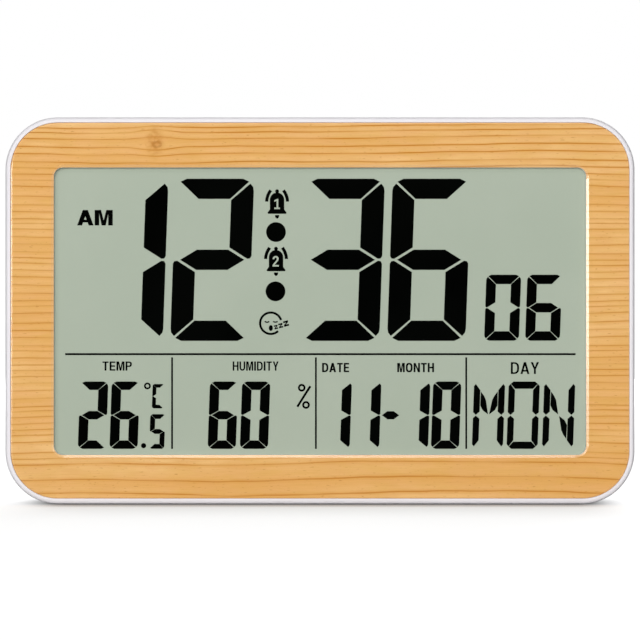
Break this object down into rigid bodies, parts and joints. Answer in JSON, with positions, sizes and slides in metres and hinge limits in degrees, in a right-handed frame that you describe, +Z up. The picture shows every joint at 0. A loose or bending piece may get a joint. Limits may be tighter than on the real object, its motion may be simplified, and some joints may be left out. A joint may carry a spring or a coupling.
{
  "type": "digital wall clock",
  "caption": "Wood-faced digital clock in a white rounded case with a large segment display, wall keyhole, fold-out stand, battery door and rear keys.",
  "frame": {"origin": "centre of the footprint on the surface the clock stands on", "axes": "+X to the right seen from the front, +Y from the front to the back, +Z up"},
  "size_m": [0.216, 0.026, 0.1327],
  "materials": {
    "case_plastic": "fine satin white moulding",
    "wood_panel": "pale horizontal grain, satin lacquer",
    "display_face": "matt anti-glare film",
    "display_glass": "clear",
    "reflector_film": "brushed silver film",
    "clamp_plastic": "plain moulding",
    "contact_rubber": "layered strip",
    "circuit_board": "solder mask",
    "black_plastic": "plain moulding",
    "blue_plastic": "plain moulding",
    "key_plastic": "satin moulding",
    "steel": "zinc plated",
    "spring_steel": "nickel plated",
    "brass": "rolled sheet",
    "cell_jacket": "plain printed jacket",
    "red_wire": "insulation",
    "black_wire": "insulation"
  },
  "bodies": {
    "case": {"front_shell": "case_plastic", "wood_panel": "wood_panel", "lcd_front_polariser": "display_face", "lcd_front_glass": "display_glass", "lcd_rear_glass": "display_glass", "lcd_reflector": "reflector_film", "lcd_clamp_frame": "clamp_plastic", "contact_strip": "contact_rubber", "circuit_board": "circuit_board", "chip_cover": "black_plastic", "timing_crystal": "steel", "smoothing_capacitor": "blue_plastic", "humidity_sensor": "blue_plastic", "temperature_sensor": "black_plastic", "mode_switch": "black_plastic", "up_switch": "black_plastic", "alarm_switch": "black_plastic", "down_switch": "black_plastic", "unit_switch": "black_plastic", "snooze_switch": "black_plastic", "rear_cover": "case_plastic", "battery_upper": "cell_jacket", "battery_lower": "cell_jacket", "battery_positive_contact": "spring_steel", "battery_negative_contact": "spring_steel", "battery_link_contact": "spring_steel", "battery_wire_red": "red_wire", "battery_wire_black": "black_wire", "buzzer_disc": "brass", "buzzer_wire_red": "red_wire", "buzzer_wire_black": "black_wire", "case_screw_1": "steel", "case_screw_2": "steel", "case_screw_3": "steel", "case_screw_4": "steel", "case_screw_5": "steel", "case_screw_6": "steel", "clamp_screw_1": "steel", "clamp_screw_2": "steel", "clamp_screw_3": "steel", "clamp_screw_4": "steel", "board_screw_1": "steel", "board_screw_2": "steel", "board_screw_3": "steel", "board_screw_4": "steel"},
    "stand": {"stand_leg": "case_plastic"},
    "door": {"battery_door": "case_plastic"},
    "mode_button": {"mode_key": "key_plastic", "mode_plunger": "black_plastic"},
    "up_button": {"up_key": "key_plastic", "up_plunger": "black_plastic"},
    "alarm_button": {"alarm_key": "key_plastic", "alarm_plunger": "black_plastic"},
    "down_button": {"down_key": "key_plastic", "down_plunger": "black_plastic"},
    "unit_button": {"unit_key": "key_plastic", "unit_plunger": "black_plastic"},
    "snooze_button": {"snooze_key": "key_plastic", "snooze_plunger": "black_plastic"}
  },
  "joints": [
    {"name": "stand_hinge", "type": "hinge", "parent": "case", "child": "stand", "pos_m": [0, 0.0109, 0.062], "axis": [1, 0, 0], "range_deg": [0, 28]},
    {"name": "door_hinge", "type": "hinge", "parent": "case", "child": "door", "pos_m": [0.062, 0.0129, 0.07545], "axis": [1, 0, 0], "range_deg": [0, 75]},
    {"name": "mode_press", "type": "slide", "parent": "case", "child": "mode_button", "axis": [0, -1, 0], "range_m": [0, 0.0005], "stiffness_N_per_m": 200},
    {"name": "up_press", "type": "slide", "parent": "case", "child": "up_button", "axis": [0, -1, 0], "range_m": [0, 0.0005], "stiffness_N_per_m": 200},
    {"name": "alarm_press", "type": "slide", "parent": "case", "child": "alarm_button", "axis": [0, -1, 0], "range_m": [0, 0.0005], "stiffness_N_per_m": 200},
    {"name": "down_press", "type": "slide", "parent": "case", "child": "down_button", "axis": [0, -1, 0], "range_m": [0, 0.0005], "stiffness_N_per_m": 200},
    {"name": "unit_press", "type": "slide", "parent": "case", "child": "unit_button", "axis": [0, -1, 0], "range_m": [0, 0.0005], "stiffness_N_per_m": 200},
    {"name": "snooze_press", "type": "slide", "parent": "case", "child": "snooze_button", "axis": [0, -1, 0], "range_m": [0, 0.0005], "stiffness_N_per_m": 200}
  ]
}
